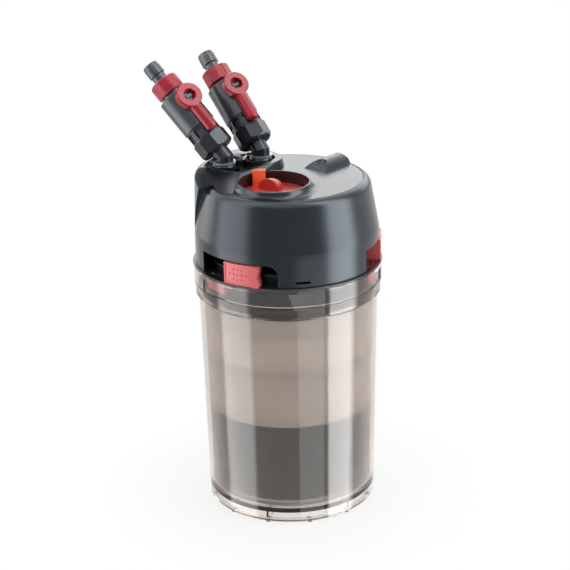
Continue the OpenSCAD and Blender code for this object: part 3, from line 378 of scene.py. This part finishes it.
def many(tree, places, one, turns, material, end):
    """The last stretch of a tree: one shape on every point, as real mesh, with its material."""
    spread = tree.nodes.new("GeometryNodeInstanceOnPoints")
    solid = tree.nodes.new("GeometryNodeRealizeInstances")
    paint = tree.nodes.new("GeometryNodeSetMaterial")
    paint.inputs["Material"].default_value = material
    tree.links.new(places, spread.inputs["Points"])
    tree.links.new(one, spread.inputs["Instance"])
    if turns:
        tree.links.new(turns, spread.inputs["Rotation"])
    tree.links.new(spread.outputs[0], solid.inputs[0])
    tree.links.new(solid.outputs[0], paint.inputs["Geometry"])
    tree.links.new(paint.outputs[0], end.inputs["Pieces"])


def chain(tree, kind, operation, *sources):
    """One math node, with its inputs wired or set."""
    step = tree.nodes.new(kind)
    step.operation = operation
    for socket, source in zip(step.inputs, sources):
        if hasattr(source, "links"):
            tree.links.new(source, socket)
        else:
            socket.default_value = source
    return step


# A pad is a ball pressed flat between the foot ring and the floor. The circle of
# the pads comes from their box, where none lies straight along X, so it is 1.7 mm
# tighter than the solids' own.
feet_count = 12
first_foot = -108
outset = 0.0001
pad_low, pad_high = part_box("rubber_feet")
pad_sizes = {"Radius": 0.0026, "Half height": (pad_high[2] - pad_low[2]) / 2}
feet_circle = (pad_high[0] - pad_low[0]) / 2 - pad_sizes["Radius"] + outset
tree, start, end = recipe("pressed_pads", pad_sizes)
ball = tree.nodes.new("GeometryNodeMeshUVSphere")
ball.inputs["Segments"].default_value = 28
ball.inputs["Rings"].default_value = 14
tree.links.new(start.outputs["Radius"], ball.inputs["Radius"])
where_on_ball = tree.nodes.new("GeometryNodeInputPosition")
parts = tree.nodes.new("ShaderNodeSeparateXYZ")
tree.links.new(where_on_ball.outputs[0], parts.inputs[0])
below = chain(tree, "ShaderNodeMath", "MULTIPLY", start.outputs["Half height"], -1.0)
press = tree.nodes.new("ShaderNodeClamp")
tree.links.new(parts.outputs["Z"], press.inputs["Value"])
tree.links.new(below.outputs[0], press.inputs["Min"])
tree.links.new(start.outputs["Half height"], press.inputs["Max"])
pressed = tree.nodes.new("ShaderNodeCombineXYZ")
tree.links.new(parts.outputs["X"], pressed.inputs["X"])
tree.links.new(parts.outputs["Y"], pressed.inputs["Y"])
tree.links.new(press.outputs[0], pressed.inputs["Z"])
shape = tree.nodes.new("GeometryNodeSetPosition")
tree.links.new(ball.outputs["Mesh"], shape.inputs["Geometry"])
tree.links.new(pressed.outputs[0], shape.inputs["Position"])
many(tree, start.outputs["Places"], shape.outputs[0], None, pad_rubber, end)
bearings = [math.radians(first_foot + 360 / feet_count * i) for i in range(feet_count)]
stands = [(feet_circle * math.cos(t), feet_circle * math.sin(t), pad_sizes["Half height"]) for t in bearings]
feet = grow("foot_pads", stands, tree, pad_sizes)
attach(feet, "vessel")
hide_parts("rubber_feet")

# ---------------------------------------------------------------- baskets
# Three stacked media baskets and their lid, moulded in natural plastic that
# blurs what lies behind it. The lower one is the clearest, the rest are milky.


def natural_plastic(name, clearness, dark, light):
    """Uncoloured basket plastic: it scatters more light the less clear it is."""
    material, tree, shader, where = shaded(name, light, 0.45, ior=1.25)
    shader.inputs["Transmission Weight"].default_value = clearness
    cloud = pattern(tree, where, 30, 3)
    tone(tree, cloud.outputs["Fac"], dark, light, shader.inputs["Base Color"])
    vary(tree, cloud.outputs["Fac"], 0.52, 0.66, shader.inputs["Roughness"])
    return material


clearer = natural_plastic("clearer_plastic", 0.97, (0.95, 0.93, 0.90), (0.98, 0.965, 0.945))
milky = natural_plastic("milky_plastic", 0.58, (0.96, 0.90, 0.845), (0.99, 0.95, 0.905))
dress(clearer, "basket_lower")
dress(milky, "basket_middle", "basket_upper", "basket_lid")

# ---------------------------------------------------------------- coarse sponge
# A round block of open-cell foam, cut with a hole for the intake tube. It
# stands upright in the lower basket and bulges a little at its cut edges.
foam, tree, shader, where = shaded("open_foam", (0.05, 0.06, 0.055), 0.9)
cells = pattern(tree, where, 420, kind="ShaderNodeTexVoronoi")
tone(tree, cells.outputs["Distance"], (0.008, 0.010, 0.008), (0.030, 0.036, 0.031),
     shader.inputs["Base Color"], 0.1, 0.6)
relief(tree, cells.outputs["Distance"], 0.002, 0.9, shader)


def softened(name, node, material, voxel, rounds):
    """A closed copy of a soft solid with an even skin and rounded edges."""
    piece = bpy.data.objects.new(name, nodes[node].data.copy())
    scene.collection.objects.link(piece)
    whole = bmesh.new()
    whole.from_mesh(piece.data)
    bmesh.ops.remove_doubles(whole, verts=whole.verts, dist=0.00001)
    whole.to_mesh(piece.data)
    whole.free()
    skin = piece.modifiers.new("even_skin", "REMESH")
    skin.mode = "VOXEL"
    skin.voxel_size = voxel
    skin.use_smooth_shade = True
    ease = piece.modifiers.new("rounded_edges", "SMOOTH")
    ease.factor = 0.5
    ease.iterations = rounds
    ready = piece.evaluated_get(bpy.context.evaluated_depsgraph_get())
    finished = bpy.data.meshes.new_from_object(ready)
    piece.modifiers.clear()
    piece.data = finished
    finished.materials.clear()
    finished.materials.append(material)
    return piece


def work_skin(piece, move):
    """Moves each point along its normal by what move says, in metres."""
    shifts = [(v.co + v.normal * move(v.co)) for v in piece.data.vertices]
    for v, spot in zip(piece.data.vertices, shifts):
        v.co = spot
    piece.data.update()


foam_set_back = 0.0004
cell_depth, cell_scale = 0.0011, 330
bulge, bulge_scale = 0.0003, 60


def cut_face(p):
    """How far a spot of the foam stands out: open cells are sunk, slow waves swell."""
    sunk = cell_depth * max(0.0, noise.noise(p * cell_scale))
    return -foam_set_back - sunk + bulge * noise.noise(p * bulge_scale)


block = softened("foam_block", "coarse_sponge", foam, voxel=0.0018, rounds=5)
work_skin(block, cut_face)
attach(block, "vessel")
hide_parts("coarse_sponge")

# ---------------------------------------------------------------- clay tubes
# Short tubes of fired, porous clay, poured into the middle basket so that no
# two lie alike.
clay, tree, shader, where = shaded("fired_clay", (0.72, 0.60, 0.45), 0.85)
grit = pattern(tree, where, 300, 5)
tone(tree, grit.outputs["Fac"], (0.55, 0.42, 0.28), (0.84, 0.74, 0.58), shader.inputs["Base Color"])
relief(tree, grit.outputs["Fac"], 0.0006, 0.7, shader)

tube_sizes = {"Middle radius": 0.0062, "Wall": 0.0044, "Length": 0.0165, "Edge": 0.0009, "Tilt": 0.5}
tree, start, end = recipe("poured_tubes", tube_sizes)
bend = tree.nodes.new("GeometryNodeCurvePrimitiveCircle")
bend.inputs["Resolution"].default_value = 18
tree.links.new(start.outputs["Middle radius"], bend.inputs["Radius"])
upright = tree.nodes.new("GeometryNodeSetCurveNormal")
upright.mode = "Z_UP"
tree.links.new(bend.outputs[0], upright.inputs[0])
section = tree.nodes.new("GeometryNodeCurvePrimitiveQuadrilateral")
tree.links.new(start.outputs["Wall"], section.inputs["Width"])
tree.links.new(start.outputs["Length"], section.inputs["Height"])
eased = tree.nodes.new("GeometryNodeFilletCurve")
tree.links.new(section.outputs[0], eased.inputs["Curve"])
tree.links.new(start.outputs["Edge"], eased.inputs["Radius"])
pull = tree.nodes.new("GeometryNodeCurveToMesh")
tree.links.new(upright.outputs[0], pull.inputs["Curve"])
tree.links.new(eased.outputs[0], pull.inputs["Profile Curve"])
tumble = tree.nodes.new("FunctionNodeRandomValue")
tumble.data_type = "FLOAT_VECTOR"
tumble.inputs["Seed"].default_value = 11
lean = chain(tree, "ShaderNodeVectorMath", "SCALE", (1.0, 1.0, 6.0))
tree.links.new(start.outputs["Tilt"], lean.inputs["Scale"])
back = chain(tree, "ShaderNodeVectorMath", "SCALE", lean.outputs[0])
back.inputs["Scale"].default_value = -1
tree.links.new(lean.outputs[0], tumble.inputs["Max"])
tree.links.new(back.outputs[0], tumble.inputs["Min"])
turn = tree.nodes.new("FunctionNodeEulerToRotation")
tree.links.new(tumble.outputs["Value"], turn.inputs[0])
many(tree, start.outputs["Places"], pull.outputs[0], turn.outputs[0], clay, end)

# Two layers of tubes, each on rows like a honeycomb's, clear of the basket's wall
# and of the sleeve round the intake tube. The upper layer is narrower and sits over
# the hollows of the lower one.
heap_low, heap_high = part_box("ceramic_rings")
pitch = 0.0195
row_step = 0.866
hollow_step = 0.577
tube_r = 0.009
play = 0.0004
lower_margin, upper_margin = 0.0085, 0.0360
sleeve = Vector((-0.0611, 0.0161))
sleeve_room = 0.0245
nudge = 0.0008
rows = range(-4, 5)
layers = [(heap_low[2] + tube_r + play, heap_high[1] - lower_margin, 0.0),
          (heap_high[2] - tube_r - play, heap_high[1] - upper_margin, 0.5)]
spots = []
scatter = random.Random(5)
for height, reach, offset in layers:
    for i in rows:
        for j in rows:
            spot = Vector((pitch * (i + j / 2 + offset), pitch * (j * row_step + offset * hollow_step)))
            if spot.length < reach and (spot - sleeve).length > sleeve_room:
                spots.append((spot.x + scatter.uniform(-nudge, nudge),
                              spot.y + scatter.uniform(-nudge, nudge), height))
tubes = grow("clay_tubes", spots, tree, tube_sizes)
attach(tubes, "vessel")
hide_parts("ceramic_rings")

# ---------------------------------------------------------------- wadding
# A soft pad of white polyester fibre in the upper basket, carded loose so
# that its faces stay lumpy.
wadding, tree, shader, where = shaded("white_wadding", (0.88, 0.86, 0.82), 0.95)
fibre = pattern(tree, where, 120, 6)
tone(tree, fibre.outputs["Fac"], (0.78, 0.75, 0.70), (0.95, 0.94, 0.92), shader.inputs["Base Color"])
relief(tree, fibre.outputs["Fac"], 0.002, 0.8, shader)
fleece_set_back = 0.0006
lump, lump_scale = 0.0010, 45
nap, nap_scale = 0.0006, 260


def carded_face(p):
    """How far a spot of the wadding stands out: slow lumps with a fine sunken nap."""
    lumps = lump * noise.noise(p * lump_scale)
    return -fleece_set_back + lumps - nap * abs(noise.noise(p * nap_scale))


fleece = softened("fibre_pad", "filter_floss", wadding, voxel=0.0022, rounds=8)
work_skin(fleece, carded_face)
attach(fleece, "vessel")
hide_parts("filter_floss")

# ---------------------------------------------------------------- black mouldings
# The head's base plate, the intake tube, the impeller's cover, the elbows, the
# union nuts and the valve stems are black glass-filled plastic with a satin grain.


def moulded(name, dark, light, rough_low, rough_high, grain=2600, depth=0.00004, coat=0.0,
            reflection_tint=(1, 1, 1), gloss=0.5):
    """Injection-moulded plastic: slow tone drift, fine grain, varied gloss and eased edges."""
    material, tree, shader, where = shaded(name, light, rough_high)
    drift = pattern(tree, where, 14, 3)
    skin = pattern(tree, where, grain, 2)
    tone(tree, drift.outputs["Fac"], dark, light, shader.inputs["Base Color"])
    vary(tree, drift.outputs["Fac"], rough_low, rough_high, shader.inputs["Roughness"])
    bump = relief(tree, skin.outputs["Fac"], depth, 0.5, shader)
    eased_edge = tree.nodes.new("ShaderNodeBevel")
    eased_edge.samples = 4
    eased_edge.inputs["Radius"].default_value = 0.0004
    tree.links.new(eased_edge.outputs[0], bump.inputs["Normal"])
    # The reflection tint is painted colour: a cool blue in the reflections that stands in for the light's
    # hue.
    shader.inputs["Specular Tint"].default_value = (*reflection_tint, 1)
    shader.inputs["Specular IOR Level"].default_value = gloss
    shader.inputs["Coat Weight"].default_value = coat
    shader.inputs["Coat Roughness"].default_value = 0.25
    return material


# The dark plastics' reflections get a painted cool blue tint, standing in for the bluish light they reflect.
cool_reflection_tint = (0.84, 0.92, 1.0)
black = moulded("black_moulding", (0.006, 0.007, 0.009), (0.011, 0.012, 0.015), 0.24, 0.32,
                reflection_tint=cool_reflection_tint, gloss=0.32)
dress(black, "head_base", "intake_tube", "impeller_cover", "elbow_1", "elbow_2",
      "union_nut_1", "union_nut_2", "valve_stem_1", "valve_stem_2")

# ---------------------------------------------------------------- seals
# The rings between the wet pieces, the bushings that hold the rotor's shaft and
# the cable sleeve are black nitrile rubber with a faint bloom.
nitrile, tree, shader, where = shaded("nitrile", (0.02, 0.02, 0.02), 0.55)
bloom = pattern(tree, where, 260, 4)
tone(tree, bloom.outputs["Fac"], (0.012, 0.012, 0.012), (0.03, 0.03, 0.031), shader.inputs["Base Color"])
vary(tree, bloom.outputs["Fac"], 0.45, 0.65, shader.inputs["Roughness"])
dress(nitrile, "main_seal", "intake_seal", "piston_seal", "elbow_seal_1", "elbow_seal_2",
      "barb_seal_1", "barb_seal_2", "upper_bushing", "lower_bushing", "cable_grommet")

# ---------------------------------------------------------------- pump
# A sealed synchronous motor: steel laminations, copper windings in a grey
# housing, and a magnet rotor with its impeller on a white ceramic shaft.


def bands(tree, where, direction, scale):
    """Even stripes across one direction of a piece."""
    wave = tree.nodes.new("ShaderNodeTexWave")
    wave.bands_direction = direction
    wave.inputs["Scale"].default_value = scale
    tree.links.new(where, wave.inputs["Vector"])
    return wave.outputs["Fac"]


# Bright steel makes the cover's screws, and further down the return springs
steel, tree, shader, where = shaded("bright_steel", (0.62, 0.63, 0.65), 0.3, metal=1.0)
mill = pattern(tree, where, 700, 3)
vary(tree, mill.outputs["Fac"], 0.22, 0.42, shader.inputs["Roughness"])
tone(tree, mill.outputs["Fac"], (0.5, 0.51, 0.53), (0.7, 0.71, 0.73), shader.inputs["Base Color"])
dress(steel, "cover_screws")

sheets, tree, shader, where = shaded("laminations", (0.4, 0.41, 0.43), 0.4, metal=1.0)
stack = bands(tree, where, "Z", 320)
tone(tree, stack, (0.18, 0.19, 0.2), (0.5, 0.51, 0.53), shader.inputs["Base Color"])
relief(tree, stack, 0.0002, 0.6, shader)
dress(sheets, "stator_core")

copper, tree, shader, where = shaded("enamelled_copper", (0.6, 0.3, 0.15), 0.3, metal=1.0)
windings = bands(tree, where, "Z", 480)
tone(tree, windings, (0.22, 0.08, 0.03), (0.72, 0.36, 0.18), shader.inputs["Base Color"])
relief(tree, windings, 0.0002, 0.7, shader)
dress(copper, "stator_coils")

# White acetal is also the primer's piston and the balls of the valves
acetal = moulded("white_acetal", (0.74, 0.74, 0.72), (0.84, 0.84, 0.82), 0.28, 0.4, coat=0.2)
dress(acetal, "impeller", "primer_piston", "valve_ball_1", "valve_ball_2")
ferrite = moulded("coated_ferrite", (0.03, 0.03, 0.032), (0.06, 0.06, 0.063), 0.35, 0.5)
dress(ferrite, "rotor_magnet")
porcelain = moulded("polished_ceramic", (0.88, 0.87, 0.83), (0.93, 0.92, 0.89), 0.08, 0.16, coat=0.5)
dress(porcelain, "impeller_shaft")

# The motor housing's grey is also that of the primer's cylinder, the valve bodies
# and the hose barbs
grey = moulded("grey_moulding", (0.020, 0.024, 0.027), (0.032, 0.037, 0.041), 0.26, 0.34,
               reflection_tint=cool_reflection_tint)
dress(grey, "motor_housing", "primer_cylinder", "valve_body_1", "valve_body_2",
      "hose_barb_1", "hose_barb_2")

# ---------------------------------------------------------------- head cover
# The outer shell of the pump head, one deep moulding in slate grey with an
# even spark-eroded texture that keeps its reflections soft.
# Its reflections carry a painted cool blue tint for the bluish light.
slate = moulded("slate_moulding", (0.007, 0.0095, 0.012), (0.010, 0.013, 0.016), 0.22, 0.26,
                grain=3200, depth=0.00003, reflection_tint=(0.80, 0.91, 1.0), gloss=0.32)
dress(slate, "head_cover")

# ---------------------------------------------------------------- red controls
# The valve levers and hose nuts are one deep red plastic with a slight gloss.
# The latches and the primer's knob are paler reds, painted lighter as if lit, and the primer's tab is
# orange.
signal_red = moulded("signal_red", (0.30, 0.006, 0.020), (0.42, 0.012, 0.034), 0.22, 0.30,
                     grain=2200, depth=0.00003, gloss=0.28)
dress(signal_red, "valve_lever_1", "valve_lever_2", "hose_nut_1", "hose_nut_2")

# The three latches are a paler red, painted lighter to stand in for the light on them, with a matt face for
# the thumb.
lit_latch_red = moulded("lit_latch_red", (0.56, 0.085, 0.095), (0.68, 0.13, 0.135), 0.38, 0.48,
                    grain=1500, depth=0.00005, coat=0.1)
dress(lit_latch_red, "latch_1", "latch_2", "latch_3")

# The primer's knob is a paler red, painted lighter as if lit. Its tab is orange, with fine ribs
# for the nail.
lit_knob_red = moulded("lit_knob_red", (0.38, 0.025, 0.025), (0.52, 0.050, 0.045), 0.30, 0.40,
                     grain=1800, depth=0.00004, gloss=0.3)
dress(lit_knob_red, "primer_knob")
orange, tree, shader, where = shaded("orange_tab", (1.0, 0.17, 0.06), 0.36)
warmth = pattern(tree, where, 60, 3)
tone(tree, warmth.outputs["Fac"], (0.98, 0.13, 0.04), (1.0, 0.21, 0.08), shader.inputs["Base Color"])
relief(tree, bands(tree, where, "X", 190), 0.0003, 0.6, shader)
dress(orange, "primer_tab")

# ---------------------------------------------------------------- return springs
# Two coils of bright steel wire, one under the primer's piston and one under
# the release button. Each stands on its seat.
tree, start, end = recipe("wound_wire", ("Radius", "Wire", "Height", "Turns"))
helix = tree.nodes.new("GeometryNodeCurveSpiral")
helix.inputs["Resolution"].default_value = 28
tree.links.new(start.outputs["Radius"], helix.inputs["Start Radius"])
tree.links.new(start.outputs["Radius"], helix.inputs["End Radius"])
tree.links.new(start.outputs["Height"], helix.inputs["Height"])
tree.links.new(start.outputs["Turns"], helix.inputs["Rotations"])
round_wire = tree.nodes.new("GeometryNodeCurvePrimitiveCircle")
round_wire.inputs["Resolution"].default_value = 10
tree.links.new(start.outputs["Wire"], round_wire.inputs["Radius"])
drawn = tree.nodes.new("GeometryNodeCurveToMesh")
drawn.inputs["Fill Caps"].default_value = True
tree.links.new(helix.outputs[0], drawn.inputs["Curve"])
tree.links.new(round_wire.outputs[0], drawn.inputs["Profile Curve"])
many(tree, start.outputs["Places"], drawn.outputs[0], None, steel, end)

# Coil, the solid it stands for, the joint that presses it, the joint's travel, the
# wire's radius and the number of turns
for name, node, joint, travel, wire, rounds in [
        ("primer_coil", "primer_spring", "primer_press", 0.012, 0.0009, 6),
        ("button_coil", "button_spring", "button_press", 0.003, 0.0005, 5)]:
    coil_low, coil_high = (Vector(corner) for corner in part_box(node))
    seat = Vector(((coil_low.x + coil_high.x) / 2, (coil_low.y + coil_high.y) / 2, coil_low.z))
    height = coil_high.z - coil_low.z
    lift = 1.1 * wire
    coil_sizes = {"Radius": (coil_high.x - coil_low.x) / 2 - wire, "Wire": wire,
                  "Height": height - 2 * lift, "Turns": rounds}
    coil = grow(name, [seat + Vector((0, 0, lift))], tree, coil_sizes)
    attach(coil, "vessel")
    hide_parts(node)
    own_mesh(coil)

# ---------------------------------------------------------------- port fittings
# Light grey spring clips round the elbows, and the dark grey release button that
# sits between the two ports.
clip_grey = moulded("clip_grey", (0.15, 0.165, 0.18), (0.24, 0.26, 0.28), 0.22, 0.32, coat=0.3)
dress(clip_grey, "port_clips")
button_grey = moulded("button_grey", (0.045, 0.065, 0.075), (0.075, 0.10, 0.11), 0.35, 0.5,
                      grain=900, depth=0.0002)
dress(button_grey, "release_button")
